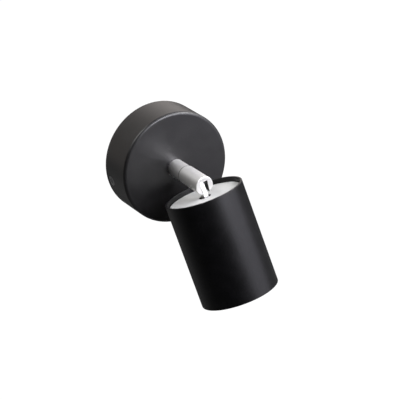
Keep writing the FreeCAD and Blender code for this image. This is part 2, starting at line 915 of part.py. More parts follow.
def lamp_pins():
    """The two headed contact pins."""
    tip = holder_end - lamp_pin_reach
    root = lamp_start + lamp_pin_root
    pins = []
    for side in (-1, 1):
        pin = turned([
            (0, tip, 0),
            (lamp_head_radius, tip, 0.4),
            (lamp_head_radius, tip + lamp_head_height, 0.2),
            (lamp_neck_radius, tip + lamp_head_height, 0),
            (lamp_neck_radius, root, 0),
            (0, root, 0),
        ])
        pins.append(moved(pin, 0, side * lamp_pin_offset))
    return group(pins)


def bowl_wire(radius_offset, rim_radius, low, high, closing_radius):
    """The half section of the reflector: throat, bulging bowl and rim band."""
    throat = Vector(lamp_throat_radius - radius_offset, 0, low)
    shoulder = Vector(rim_radius, 0, lamp_end - lamp_rim_band)
    chord = shoulder - throat
    outward = Vector(chord.z, 0, -chord.x)
    outward.normalize()
    middle = (throat + shoulder) * 0.5 + outward * lamp_bowl_bulge
    rim = Vector(rim_radius, 0, high)
    return [
        Part.Arc(throat, middle, shoulder).toShape(),
        Part.LineSegment(shoulder, rim).toShape(),
        Part.LineSegment(rim, Vector(closing_radius, 0, high)).toShape(),
        Part.LineSegment(Vector(closing_radius, 0, high), Vector(closing_radius, 0, low)).toShape(),
        Part.LineSegment(Vector(closing_radius, 0, low), throat).toShape(),
    ]


def lamp_reflector():
    """The pressed glass bowl, with a ledge in its rim for the cover glass."""
    low = throat_top + seat_gap
    axis = Vector(0, 0, 1)
    outer_face = Part.Face(Part.Wire(bowl_wire(0, lamp_radius, low, lamp_end, 0)))
    outer = outer_face.revolve(Vector(0, 0, 0), axis, 360)
    inner_rim = lamp_radius - lamp_glass_wall - cover_glass_ledge
    inner_edges = bowl_wire(lamp_glass_wall, inner_rim, low, lamp_end, 0)
    inner = Part.Face(Part.Wire(inner_edges)).revolve(Vector(0, 0, 0), axis, 360)
    seat_depth = cover_glass_thickness + 0.4
    seat = rod(lamp_radius - lamp_glass_wall, lamp_end - seat_depth, seat_depth)
    return less(outer, inner, seat)


def lamp_capsule():
    """The small sealed bulb in the middle of the reflector."""
    neck = throat_top + sliding_gap
    low = neck + capsule_neck_length
    high = low + capsule_length
    bulb = turned([
        (0, neck, 0),
        (pinch_thickness / 2, neck, 0.3),
        (capsule_radius, low, 1.0),
        (capsule_radius, high, capsule_tip_radius),
        (0, high, 0),
    ])
    return join(bulb, pinch(0))


def lamp_cover_glass():
    """The front glass."""
    radius = lamp_radius - lamp_glass_wall - seat_gap
    start = lamp_end - 0.4 - cover_glass_thickness + seat_gap
    return turned([
        (0, start, 0),
        (radius, start, 0.2),
        (radius, start + cover_glass_thickness, 0.3),
        (0, start + cover_glass_thickness, 0),
    ])


# Placing the frames and writing the files

def from_wall_frame(shape):
    """Wall frame to part frame: out from the wall becomes -Y, and up becomes +Z."""
    return turned_by(shape, 90, Vector(0, 0, 0), Vector(1, 0, 0))


def from_head_frame(shape):
    """Head frame to part frame, with the head tilted down as at rest."""
    tilted = turned_by(shape, tilt_at_rest, Vector(0, 0, 0), Vector(1, 0, 0))
    return from_wall_frame(moved(tilted, 0, 0, pin_distance))


wall_pieces = [
    wall_bracket, canopy, side_screws, terminal_block, terminal_sleeves, terminal_screws,
    block_screws, earth_washer, earth_screw, threaded_nipple, nipple_bush, lock_washer, stem_nut,
    stem_collar, swivel_friction_ring,
    swivel_barrel, swivel_grub_screw, pivot_pin, friction_washers,
]
head_pieces = [
    tilt_arm, back_plate, arm_screws, holder_bracket, lamp_holder, holder_screws,
    contact_springs, shade_tube,
    lamp_base, lamp_pins, lamp_reflector, lamp_capsule, lamp_cover_glass,
]


def main():
    os.makedirs("parts", exist_ok=True)
    for pieces, place in ((wall_pieces, from_wall_frame), (head_pieces, from_head_frame)):
        for piece in pieces:
            shape = place(piece())
            shape.exportStep(os.path.join("parts", piece.__name__ + ".step"))


main()
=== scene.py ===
import json
import math

import bpy
from mathutils import Matrix, Vector


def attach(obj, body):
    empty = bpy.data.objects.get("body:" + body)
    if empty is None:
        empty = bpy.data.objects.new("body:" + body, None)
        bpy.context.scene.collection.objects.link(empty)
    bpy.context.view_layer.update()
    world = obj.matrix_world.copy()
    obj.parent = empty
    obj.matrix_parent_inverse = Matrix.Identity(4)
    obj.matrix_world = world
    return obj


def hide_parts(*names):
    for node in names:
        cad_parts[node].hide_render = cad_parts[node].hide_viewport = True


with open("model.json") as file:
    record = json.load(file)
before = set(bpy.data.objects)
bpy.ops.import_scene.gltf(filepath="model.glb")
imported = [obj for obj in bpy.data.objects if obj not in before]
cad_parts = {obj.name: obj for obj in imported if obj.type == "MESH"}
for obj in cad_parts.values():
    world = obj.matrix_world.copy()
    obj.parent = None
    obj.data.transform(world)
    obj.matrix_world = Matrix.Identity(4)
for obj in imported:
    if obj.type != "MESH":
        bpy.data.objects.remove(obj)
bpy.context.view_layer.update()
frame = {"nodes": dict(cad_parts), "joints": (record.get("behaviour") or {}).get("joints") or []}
mm = 0.001

# the wall frame looks out from the wall, the head frame runs down the shade from the tilt pin
joints = {joint["name"]: joint for joint in frame["joints"]}
pin = Vector(joints["tilt"]["pos_m"])
headAxis = Vector(joints["lamp_twist"]["axis"]).normalized()
headAway = Vector((1, 0, 0)).cross(headAxis) * -1   # square to the axis, away from the wall
wallTurn = Matrix(((1, 0, 0), (0, 0, -1), (0, 1, 0)))
headTurn = Matrix((Vector((1, 0, 0)), headAway, headAxis)).transposed()
wallPlace = wallTurn.to_4x4() @ Matrix.Scale(mm, 4)
headPlace = Matrix.Translation(pin) @ headTurn.to_4x4() @ Matrix.Scale(mm, 4)


# a wire is a node's socket that takes part in sums
class Wire:
    def __init__(self, tree, socket):
        self.tree = tree
        self.socket = socket

    def sum(self, operation, other=0, swap=False):
        values = (other, self) if swap else (self, other)
        return self.tree.node("ShaderNodeMath", {"operation": operation}, *values)

    def __add__(self, other): return self.sum("ADD", other)
    def __radd__(self, other): return self.sum("ADD", other)
    def __sub__(self, other): return self.sum("SUBTRACT", other)
    def __rsub__(self, other): return self.sum("SUBTRACT", other, swap=True)
    def __mul__(self, other): return self.sum("MULTIPLY", other)
    def __rmul__(self, other): return self.sum("MULTIPLY", other)
    def __truediv__(self, other): return self.sum("DIVIDE", other)
    def __rtruediv__(self, other): return self.sum("DIVIDE", other, swap=True)
    def __pow__(self, other): return self.sum("POWER", other)

    def high(self, other): return self.sum("MAXIMUM", other)
    def bare(self): return self.sum("ABSOLUTE")
    def sine(self): return self.sum("SINE")
    def cosine(self): return self.sum("COSINE")

    def ease(self, start, end):   # 0 at start, 1 at end, smooth between
        return self.tree.node("ShaderNodeMapRange", {"interpolation_type": "SMOOTHSTEP", "clamp": True},
                              Value=self, From_Min=start, From_Max=end)

    def rise(self, places):   # the same between two places in mm
        return self.ease(*(place * mm for place in places))

    def fade(self, places):   # 1 at the first place in mm, 0 at the second
        return 1 - self.rise(places)


def reach(x, y):   # how far a point lies from an axis or a ring
    return (x * x + y * y) ** 0.5


class Tree:
    def __init__(self, nodeTree):
        self.nodeTree = nodeTree

    def node(self, kind, settings=None, *values, out=0, **named):   # an underscore in a name is a space
        made = self.nodeTree.nodes.new(kind)
        for key, value in (settings or {}).items():
            setattr(made, key, value)
        for i, value in enumerate(values):
            self.plug(made.inputs[i], value)
        for key, value in named.items():
            fits = [s for s in made.inputs if s.name == key.replace("_", " ") and s.enabled]
            self.plug(fits[0], value)
        return Wire(self, made.outputs[out]) if made.outputs else None

    def plug(self, socket, value):   # a list goes into a socket that takes several wires
        if isinstance(value, list):
            for part in value:
                self.plug(socket, part)
        elif isinstance(value, Wire):
            self.nodeTree.links.new(value.socket, socket)
        else:
            socket.default_value = value

    def other(self, wire, name):   # another output of the node that a wire comes from
        return Wire(self, wire.socket.node.outputs[name])

    def split(self, vector):
        x = self.node("ShaderNodeSeparateXYZ", None, vector)
        return x, self.other(x, "Y"), self.other(x, "Z")

    def mixColours(self, amount, first, second):
        return self.node("ShaderNodeMix", {"data_type": "RGBA"}, out=2, Factor=amount, A=first, B=second)


def newMaterial(name):
    material = bpy.data.materials.new(name)
    material.use_nodes = True
    material.node_tree.nodes.clear()
    return material, Tree(material.node_tree)


def finishMaterial(material, tree, base, **inputs):
    shader = tree.node("ShaderNodeBsdfPrincipled", None, **inputs)
    tree.node("ShaderNodeOutputMaterial", None, shader)
    material.diffuse_color = colour(*base)
    return material


def colour(red, green, blue):
    return (red, green, blue, 1)


def placed(tree, place="row"):   # object coordinates, or the same in the head's or the wall's own frame
    point = tree.other(tree.node("ShaderNodeTexCoord"), "Object")
    if place == "row":
        return point
    turn, location = (headTurn, pin) if place == "head" else (wallTurn, Vector((0, 0, 0)))
    return tree.node("ShaderNodeMapping", {"vector_type": "TEXTURE"}, Vector=point,
                     Location=tuple(location), Rotation=tuple(turn.to_euler()))


def noise(tree, point, size, detail=2.0, roughness=0.5, stretch=(1, 1, 1)):   # size of a blotch in mm
    if stretch != (1, 1, 1):
        point = tree.node("ShaderNodeMapping", None, Vector=point, Scale=stretch)
    return tree.node("ShaderNodeTexNoise", None, Vector=point, Scale=1 / (size * mm), Detail=detail,
                     Roughness=roughness)


def bump(tree, height, depth, strength):   # depth in mm
    return tree.node("ShaderNodeBump", None, Height=height, Distance=depth * mm, Strength=strength)


print("materials")

# In every finish, sizes, depths and places are in mm. A spread is how much a pattern changes the roughness, and
# an edge gives the two levels of the noise at which a spot begins and is full.
cloudEdge = (0.35, 0.70)
paintedShade = (0.035, 0.034, 0.033)   # painted shade: near black that darkens the stem's seam and slot, the arm's foot and the edge of the back plate's hole

# black powder coat: fine orange peel, faint mottling, a little rubbed along its edges
blackCoat = {
    "roughness": 0.37, "cloudSize": 9, "cloudSpread": 0.07,
    "gritSize": 0.5, "gritEdge": (0.60, 0.80), "gritShare": 0.35, "gritSpread": 0.05,
    "peelSize": 0.34, "peelDepth": 0.012, "peelStrength": 0.6,
    "rubbed": (0.040, 0.039, 0.038), "rubbedWidth": (0.25, 1.1), "rubbedShare": 0.15, "rubbedShine": 0.08,
    "scuffSize": 2.2, "scuffEdge": (0.42, 0.72),
}
shadeCoat = {
    "base": (0.0014, 0.0013, 0.0015), "mottle": (0.0024, 0.0022, 0.0026), "specular": 0.32,
    "rings": [(radius, height) for radius in (27.5, 26.0) for height in (7.0, 82.5)],
}
canopyCoat = {
    "base": (0.0080, 0.0077, 0.0078), "mottle": (0.0108, 0.0104, 0.0104), "specular": 0.53,
    "rings": [(39.3, 27.3), (40.0, 0.0)],
}


def makeBlackCoat(name, place, coat):
    material, tree = newMaterial(name)
    point = placed(tree, place)
    x, y, z = tree.split(point)
    cloud = noise(tree, point, blackCoat["cloudSize"], detail=3)
    grit = noise(tree, point, blackCoat["gritSize"])
    peel = noise(tree, point, blackCoat["peelSize"], detail=1.5, roughness=0.4)
    scuff = noise(tree, point, blackCoat["scuffSize"], detail=4, roughness=0.6)
    edge = 0
    for radius, height in coat["rings"]:   # rubbed round the rims
        gap = reach(reach(x, y) - radius * mm, z - height * mm)
        edge = gap.fade(blackCoat["rubbedWidth"]).high(edge)
    rubbed = edge * scuff.ease(*blackCoat["scuffEdge"]) * blackCoat["rubbedShare"]
    gritShare = grit.ease(*blackCoat["gritEdge"]) * blackCoat["gritShare"]
    base = tree.mixColours(cloud.ease(*cloudEdge), colour(*coat["base"]), colour(*coat["mottle"]))
    base = tree.mixColours(gritShare, base, colour(*blackCoat["rubbed"]))
    base = tree.mixColours(rubbed, base, colour(*blackCoat["rubbed"]))
    rough = blackCoat["roughness"] + (cloud - 0.5) * blackCoat["cloudSpread"]
    rough = rough + (grit - 0.5) * blackCoat["gritSpread"] - rubbed * blackCoat["rubbedShine"]
    return finishMaterial(material, tree, coat["base"], Base_Color=base, Roughness=rough,
                          Specular_IOR_Level=coat["specular"],
                          Normal=bump(tree, peel, blackCoat["peelDepth"], blackCoat["peelStrength"]))


# satin nickel: fine lines from turning or brushing, faint smudges
satinNickel = {
    "base": (0.84, 0.83, 0.81), "metallic": 0.80, "roughness": 0.42,
    "lineSize": 0.16, "lineDepth": 0.004, "lineStrength": 0.5, "lineSpread": 0.16,
    "smudge": (0.78, 0.77, 0.75), "smudgeSize": 5, "smudgeEdge": (0.40, 0.75), "smudgeShare": 0.6,
    "smudgeSpread": 0.12,
}
stemShade = {   # painted shade in the seam between collar and barrel and in the slot; each pair is one soft border, in mm
    "seam": 43.075, "seamHalf": (0.3, 0.75), "seamShare": 0.9,
    "slotHalf": (2.8, 2.856), "slotReach": (6.3, 6.426), "slotStart": (57.7, 57.8), "slotEnd": (67.7, 67.9),
}
armFootShade = (12.3, 12.6)   # from here on the arm's foot gets painted shade, where the back plate hides it


def makeNickel(name, place, stretch):
    material, tree = newMaterial(name)
    point = placed(tree, place)
    x, y, z = tree.split(point)
    lines = noise(tree, point, satinNickel["lineSize"], detail=3, roughness=0.6, stretch=stretch)
    smudge = noise(tree, point, satinNickel["smudgeSize"], detail=3)
    base = tree.mixColours(smudge.ease(*satinNickel["smudgeEdge"]) * satinNickel["smudgeShare"],
                           colour(*satinNickel["base"]), colour(*satinNickel["smudge"]))
    if place == "wall":
        # painted shade: the seam and the inside of the slot are darkened to near black, where shade falls
        # between the parts
        seam = (z - stemShade["seam"] * mm).bare().fade(stemShade["seamHalf"]) * stemShade["seamShare"]
        slot = x.bare().fade(stemShade["slotHalf"]) * reach(x, y).fade(stemShade["slotReach"])
        slot = slot * z.rise(stemShade["slotStart"]) * z.fade(stemShade["slotEnd"])
        base = tree.mixColours(seam.high(slot), base, colour(*paintedShade))
    if place == "head":
        # painted shade: the arm's foot is darkened to near black under the back plate
        base = tree.mixColours(z.rise(armFootShade), base, colour(*paintedShade))
    rough = satinNickel["roughness"] + (lines - 0.5) * satinNickel["lineSpread"]
    rough = rough + (smudge - 0.5) * satinNickel["smudgeSpread"]
    return finishMaterial(material, tree, satinNickel["base"], Base_Color=base,
                          Metallic=satinNickel["metallic"], Roughness=rough,
                          Normal=bump(tree, lines, satinNickel["lineDepth"], satinNickel["lineStrength"]))


# painted or plated metals that show less
plating = {
    "cloudSize": 4.5, "cloudSpread": 0.14, "grainSpread": 0.12, "grainDepth": 0.004, "grainStrength": 0.6,
}


def makePlated(name, base, tint, roughness, grain, metallic=1.0, place="row", stretch=(1, 1, 1), holeShade=None):
    material, tree = newMaterial(name)
    point = placed(tree, place)
    fine = noise(tree, point, grain, detail=3, roughness=0.55, stretch=stretch)
    cloud = noise(tree, point, plating["cloudSize"], detail=3)
    mixed = tree.mixColours(cloud.ease(*cloudEdge), colour(*base), colour(*tint))
    if holeShade:   # painted shade on the wall and edge of a hole round the axis
        x, y, z = tree.split(point)
        mixed = tree.mixColours(reach(x, y).fade(holeShade), mixed, colour(*paintedShade))
    rough = roughness + (fine - 0.5) * plating["grainSpread"] + (cloud - 0.5) * plating["cloudSpread"]
    return finishMaterial(material, tree, base, Base_Color=mixed, Metallic=metallic, Roughness=rough,
                          Normal=bump(tree, fine, plating["grainDepth"], plating["grainStrength"]))


# moulded plastic and ceramic, with darker specks
moulding = {
    "cloudSize": 6, "cloudSpread": 0.08, "grainSpread": 0.1, "grainStrength": 0.6,
    "speckSize": 0.7, "speckEdge": (0.68, 0.78), "speckShare": 0.25, "speckTone": 0.6,
}


def makeMoulded(name, base, tint, roughness, grain, depth, specular=0.5):
    material, tree = newMaterial(name)
    point = placed(tree)
    fine = noise(tree, point, grain, detail=2.5)
    cloud = noise(tree, point, moulding["cloudSize"])
    speck = noise(tree, point, moulding["speckSize"], detail=1).ease(*moulding["speckEdge"])
    darker = colour(*(part * moulding["speckTone"] for part in base))
    mixed = tree.mixColours(cloud.ease(*cloudEdge), colour(*base), colour(*tint))
    mixed = tree.mixColours(speck * moulding["speckShare"], mixed, darker)
    rough = roughness + (fine - 0.5) * moulding["grainSpread"] + (cloud - 0.5) * moulding["cloudSpread"]
    return finishMaterial(material, tree, base, Base_Color=mixed, Roughness=rough, Specular_IOR_Level=specular,
                          Normal=bump(tree, fine, depth, moulding["grainStrength"]))


# clear glass, faintly rippled and smeared
glass = {
    "index": 1.47, "rippleStrength": 0.5,
    "smearSize": 7, "smearEdge": (0.3, 0.8), "smearTone": 0.96, "dullEdge": (0.5, 0.9), "dullSpread": 0.05,
}


def makeGlass(name, tint, roughness, ripple, depth):
    material, tree = newMaterial(name)
    point = placed(tree, "head")
    waves = noise(tree, point, ripple, detail=1.5)
    smear = noise(tree, point, glass["smearSize"], detail=3)
    darker = colour(*(part * glass["smearTone"] for part in tint))
    base = tree.mixColours(smear.ease(*glass["smearEdge"]), colour(*tint), darker)
    rough = roughness + smear.ease(*glass["dullEdge"]) * glass["dullSpread"]
    return finishMaterial(material, tree, tint, Base_Color=base, Roughness=rough, Transmission_Weight=1.0,
                          IOR=glass["index"], Normal=bump(tree, waves, depth, glass["rippleStrength"]))


shadeBlack = makeBlackCoat("shadeBlack", "head", shadeCoat)
canopyBlack = makeBlackCoat("canopyBlack", "wall", canopyCoat)
stemNickel = makeNickel("stemNickel", "wall", (1, 1, 9))
armNickel = makeNickel("armNickel", "head", (1, 1, 6))
pinNickel = makeNickel("pinNickel", "row", (1, 1, 1))
# the back plate's hole is darkened at its edge with painted shade
plateGrey = makePlated("plateGrey", base=(0.56, 0.56, 0.55), tint=(0.535, 0.535, 0.525), roughness=0.7,
                       grain=0.3, metallic=0.0, place="head", holeShade=(4.25, 4.35))
zincPlate = makePlated("zincPlate", base=(0.60, 0.63, 0.66), tint=(0.66, 0.63, 0.55), roughness=0.34,
                       grain=0.25, stretch=(1, 5, 5))
darkScrew = makePlated("darkScrew", base=(0.34, 0.34, 0.34), tint=(0.25, 0.25, 0.255), roughness=0.38,
                       grain=0.2)
brightScrew = makePlated("brightScrew", base=(0.72, 0.72, 0.71), tint=(0.62, 0.62, 0.62), roughness=0.24,
                         grain=0.2)
yellowBrass = makePlated("yellowBrass", base=(0.78, 0.58, 0.27), tint=(0.66, 0.47, 0.20), roughness=0.3,
                         grain=0.2)
springBrass = makePlated("springBrass", base=(0.74, 0.66, 0.45), tint=(0.60, 0.52, 0.34), roughness=0.32,
                         grain=0.2)
mirrorLayer = makePlated("mirrorLayer", base=(0.90, 0.89, 0.87), tint=(0.86, 0.86, 0.86), roughness=0.12,
                         grain=0.5, place="head")
blockMoulding = makeMoulded("blockMoulding", base=(0.80, 0.79, 0.74), tint=(0.76, 0.74, 0.68), roughness=0.45,
                            grain=0.4, depth=0.01)
bushNylon = makeMoulded("bushNylon", base=(0.82, 0.80, 0.74), tint=(0.78, 0.76, 0.68), roughness=0.38,
                        grain=0.3, depth=0.006)
holderCeramic = makeMoulded("holderCeramic", base=(0.83, 0.80, 0.74), tint=(0.78, 0.74, 0.66), roughness=0.62,
                            grain=0.25, depth=0.02, specular=0.35)
lampCeramic = makeMoulded("lampCeramic", base=(0.80, 0.78, 0.72), tint=(0.76, 0.73, 0.66), roughness=0.5,
                          grain=0.3, depth=0.015, specular=0.4)
coverGlass = makeGlass("coverGlass", tint=(0.97, 0.985, 0.985), roughness=0.02, ripple=12, depth=0.02)
capsuleGlass = makeGlass("capsuleGlass", tint=(0.985, 0.98, 0.97), roughness=0.12, ripple=5, depth=0.02)

finishes = {
    "wall_bracket": zincPlate, "canopy": canopyBlack, "side_screws": darkScrew,
    "terminal_block": blockMoulding, "terminal_sleeves": yellowBrass, "terminal_screws": brightScrew,
    "block_screws": brightScrew, "earth_washer": yellowBrass, "earth_screw": yellowBrass,
    "threaded_nipple": zincPlate, "nipple_bush": bushNylon, "lock_washer": zincPlate, "stem_nut": zincPlate,
    "stem_collar": stemNickel, "swivel_friction_ring": bushNylon,
    "swivel_barrel": stemNickel, "swivel_grub_screw": brightScrew, "pivot_pin": pinNickel,
    "friction_washers": brightScrew,
    "tilt_arm": armNickel, "back_plate": plateGrey, "arm_screws": brightScrew,
    "holder_bracket": zincPlate, "lamp_holder": holderCeramic, "holder_screws": brightScrew,
    "contact_springs": springBrass, "shade_tube": shadeBlack,
    "lamp_base": lampCeramic, "lamp_pins": brightScrew, "lamp_reflector": mirrorLayer,
    "lamp_capsule": capsuleGlass, "lamp_cover_glass": coverGlass,
}
for node, material in finishes.items():
    mesh = frame["nodes"][node].data
    mesh.materials.clear()
    mesh.materials.append(material)

print("pieces")


# a geometry tree: its sizes in mm are inputs by name, and what it makes comes out in its own material
class Shape(Tree):
    def __init__(self, name, **sizes):
        super().__init__(bpy.data.node_groups.new(name, "GeometryNodeTree"))
        face = self.nodeTree.interface
        face.new_socket("Geometry", in_out="OUTPUT", socket_type="NodeSocketGeometry")
        face.new_socket("points", in_out="INPUT", socket_type="NodeSocketGeometry")
        for key, value in sizes.items():
            kind = "NodeSocketInt" if isinstance(value, int) else "NodeSocketFloat"
            face.new_socket(key, in_out="INPUT", socket_type=kind).default_value = value
        face.new_socket("material", in_out="INPUT", socket_type="NodeSocketMaterial")
        self.source = self.node("NodeGroupInput")

    def size(self, name):
        return self.other(self.source, name)

    def vector(self, x=0.0, y=0.0, z=0.0):
        return self.node("ShaderNodeCombineXYZ", None, x, y, z)

    def join(self, *parts):
        return self.node("GeometryNodeJoinGeometry", None, list(parts))

    def lift(self, part, height):
        return self.node("GeometryNodeTransform", None, part, self.vector(z=height))

    def nest(self, tree, **sizes):   # another tree's piece inside this one
        return self.node("GeometryNodeGroup", {"node_tree": tree}, **sizes)

    def end(self, part, smooth=False):
        part = self.node("GeometryNodeSetShadeSmooth", None, part, Shade_Smooth=smooth)
        part = self.node("GeometryNodeRealizeInstances", None, part)
        part = self.node("GeometryNodeSetMaterial", None, part, Material=self.size("material"))
        self.node("NodeGroupOutput", None, part)
        return self.nodeTree


# What a tree makes becomes a plain mesh here. spots are where copies go and which way they face, shell is the
# thickness in mm that a bare surface gets, and flats keeps the shading of large faces even beside rounded rims.
def grow(name, tree, place, sizes, material, body, replaced=None, spots=(), shell=0, flats=0):
    seed = bpy.data.meshes.new(name + "Seed")
    seed.from_pydata([spot for spot, aim in spots], [], [])
    seed.attributes.new("aim", "FLOAT_VECTOR", "POINT").data.foreach_set(
        "vector", [part for spot, aim in spots for part in aim])
    source = bpy.data.objects.new(name + "Seed", seed)
    bpy.context.collection.objects.link(source)
    modifier = source.modifiers.new("shape", "NODES")
    modifier.node_group = tree
    for item in tree.interface.items_tree:
        if item.name in sizes:
            modifier[item.identifier] = sizes[item.name]
        elif item.name == "material":
            modifier[item.identifier] = material
    if shell:
        source.modifiers.new("shell", "SOLIDIFY").thickness = shell
    if flats:
        source.modifiers.new("flats", "WEIGHTED_NORMAL").weight = flats
    mesh = bpy.data.meshes.new_from_object(source.evaluated_get(bpy.context.evaluated_depsgraph_get()))
    bpy.data.objects.remove(source)
    mesh.transform(place)
    piece = bpy.data.objects.new(name, mesh)
    bpy.context.collection.objects.link(piece)
    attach(piece, body)
    if replaced:
        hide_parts(replaced)
    print("  ", name, len(mesh.polygons), "faces")


shadeTube = {"radius": 27.5, "wall": 1.5, "start": 7.0, "length": 75.5, "rim": 0.4, "sides": 192}
rimSteps = 4


def tubeTree():   # a tube with rounded rims
    t = Shape("roundTube", **shadeTube)
    section = t.node("GeometryNodeCurvePrimitiveQuadrilateral", None, t.size("wall"), t.size("length"))
    section = t.node("GeometryNodeFilletCurve", {"mode": "POLY"}, section, Count=rimSteps, Radius=t.size("rim"))
    path = t.node("GeometryNodeCurvePrimitiveCircle", None, Resolution=t.size("sides"),
                  Radius=t.size("radius") - t.size("wall") / 2)
    path = t.node("GeometryNodeSetCurveNormal", {"mode": "Z_UP"}, path)
    tube = t.node("GeometryNodeCurveToMesh", None, path, section)
    return t.end(t.lift(tube, t.size("start") + t.size("length") / 2), smooth=True)


roundTube = tubeTree()
grow("shadeTube", roundTube, headPlace, shadeTube, shadeBlack, "head", "shade_tube", flats=50)

threadShape = {   # the ridge's half height and the core's depth are shares of the pitch
    "ridge": 0.46, "ridgeSides": 4, "stepsPerTurn": 20, "core": 0.6, "tipTaper": 0.55, "runOut": 1.8,
}


def ridgeTree():   # the raised part of a screw thread
    t = Shape("threadRidge", radius=2.0, pitch=0.7, start=0.0, length=5.0)
    half = t.size("pitch") * threadShape["ridge"]
    middle = t.size("radius") - half
    helix = t.node("GeometryNodeCurveSpiral", None, Resolution=threadShape["stepsPerTurn"],
                   Rotations=t.size("length") / t.size("pitch"), Start_Radius=middle, End_Radius=middle,
                   Height=t.size("length"), Reverse=False)
    helix = t.node("GeometryNodeSetCurveNormal", {"mode": "Z_UP"}, helix)
    section = t.node("GeometryNodeCurvePrimitiveCircle", None, Resolution=threadShape["ridgeSides"],
                     Radius=half)
    ridge = t.node("GeometryNodeCurveToMesh", None, helix, section, Fill_Caps=True)
    return t.end(t.lift(ridge, t.size("start")))


threadRidge = ridgeTree()

m3Screw = {
    "radius": 1.5, "pitch": 0.5, "headRadius": 2.6, "headFoot": 2.6, "headStart": 0.0, "headHeight": 1.8,
    "dome": 0.35, "slot": 1.43, "cross": 1.43, "slotWidth": 0.8, "slotDepth": 1.08,
}
m4Screw = {
    "radius": 2.0, "pitch": 0.7, "headRadius": 3.5, "headFoot": 3.5, "headStart": 0.0, "headHeight": 2.4,
    "dome": 0.35, "slot": 1.92, "cross": 1.92, "slotWidth": 0.8, "slotDepth": 1.44,
}
sunkScrew = {
    "radius": 2.0, "pitch": 0.7, "headRadius": 3.7, "headFoot": 2.0, "headStart": -1.7, "headHeight": 1.7,
    "dome": 0.0, "slot": 2.03, "cross": 2.03, "slotWidth": 0.8, "slotDepth": 1.1,
}
clampScrew = {
    "radius": 1.5, "pitch": 0.5, "headRadius": 1.42, "headFoot": 1.42, "headStart": -1.4, "headHeight": 1.4,
    "dome": 0.0, "slot": 1.6, "cross": 0.4, "slotWidth": 0.8, "slotDepth": 1.1,
}
outward = (0, 0, 1)   # away from the wall in the wall frame, down the shade in the head frame
screwSets = {   # a spot is a place and the way the screw's head faces
    "blockScrews": {
        "screw": m3Screw, "length": 8.35, "place": wallPlace, "finish": brightScrew, "body": "wall",
        "slot": "bright_screw", "replaced": "block_screws",
        "spots": [((x, 0, 8.6), outward) for x in (-4.5, 4.5)]},
    "earthScrew": {
        "screw": m4Screw, "length": 2.25, "place": wallPlace, "finish": yellowBrass, "body": "wall",
        "slot": "brass", "replaced": "earth_screw",
        "spots": [((18.6, 0, 2.5), outward)]},
    "sideScrews": {
        "screw": sunkScrew, "length": 8.0, "place": wallPlace, "finish": darkScrew, "body": "wall",
        "slot": "dark_screw", "replaced": "side_screws",
        "spots": [((side * 39.75, 0, 6.0), (side, 0, 0)) for side in (-1, 1)]},
    "clampScrews": {
        "screw": clampScrew, "length": 5.4, "place": wallPlace, "finish": brightScrew, "body": "wall",
        "slot": "bright_screw", "replaced": "terminal_screws",
        "spots": [((x, y, 11.43), outward) for x in (-9, 0, 9) for y in (-4.2, 4.2)]},
    "armScrews": {
        "screw": m3Screw, "length": 4.7, "place": headPlace, "finish": brightScrew, "body": "head",
        "slot": "bright_screw", "replaced": "arm_screws",
        "spots": [((0, y, 15.65), outward) for y in (-7, 7)]},
    "holderScrews": {
        "screw": m3Screw, "length": 12.0, "place": headPlace, "finish": brightScrew, "body": "head",
        "slot": "bright_screw", "replaced": "holder_screws",
        "spots": [((x, 0, 28.2), outward) for x in (-11, 11)]},
}


def screwTree():   # screws on points: under its head a shank with a thread, in its head a slot or a cross
    t = Shape("screws", length=8.0, **m3Screw)
    pitch, length = t.size("pitch"), t.size("length")
    core = t.size("radius") - pitch * threadShape["core"]
    shank = t.node("GeometryNodeMeshCone", None, Vertices=24, Radius_Top=core, Radius_Bottom=core,
                   Depth=length - pitch)
    tip = t.node("GeometryNodeMeshCone", None, Vertices=24, Radius_Top=core,
                 Radius_Bottom=core * threadShape["tipTaper"], Depth=pitch)
    thread = t.nest(threadRidge, radius=t.size("radius"), pitch=pitch, start=pitch - length,
                    length=length - pitch * threadShape["runOut"])
    head = t.node("GeometryNodeMeshCone", None, Vertices=40, Side_Segments=4, Fill_Segments=6,
                  Radius_Top=t.size("headRadius"), Radius_Bottom=t.size("headFoot"), Depth=t.size("headHeight"))
    x, y, z = t.split(t.node("GeometryNodeInputPosition"))
    fall = (reach(x, y) / t.size("headRadius")) ** 3 * z * t.size("dome")
    head = t.node("GeometryNodeSetPosition", None, head, Offset=t.vector(z=0 - fall))
    head = t.lift(head, t.size("headStart"))
    top = t.size("headStart") + t.size("headHeight")
    bars = [t.vector(t.size("slot") * 2, t.size("slotWidth"), t.size("slotDepth") * 2),
            t.vector(t.size("slotWidth"), t.size("cross") * 2, t.size("slotDepth") * 2)]
    bars = [t.lift(t.node("GeometryNodeMeshCube", None, bar), top) for bar in bars]
    cutHead = t.node("GeometryNodeMeshBoolean", {"operation": "DIFFERENCE", "solver": "EXACT"}, head, bars)
    screw = t.join(t.lift(shank, pitch - length), t.lift(tip, 0 - length), thread, cutHead)
    aim = t.node("GeometryNodeInputNamedAttribute", {"data_type": "FLOAT_VECTOR"}, Name="aim")
    turn = t.node("FunctionNodeAlignRotationToVector", {"axis": "Z"}, Vector=aim)
    return t.end(t.node("GeometryNodeInstanceOnPoints", None, t.size("points"), Instance=screw, Rotation=turn))


screws = screwTree()
for name, kit in screwSets.items():
    grow(name, screws, kit["place"], {**kit["screw"], "length": kit["length"]}, kit["finish"], kit["body"],
         kit["replaced"], kit["spots"])

stemTube = {"radius": 5.0, "pitch": 1.0, "bore": 3.75, "start": 18.0, "length": 17.0}


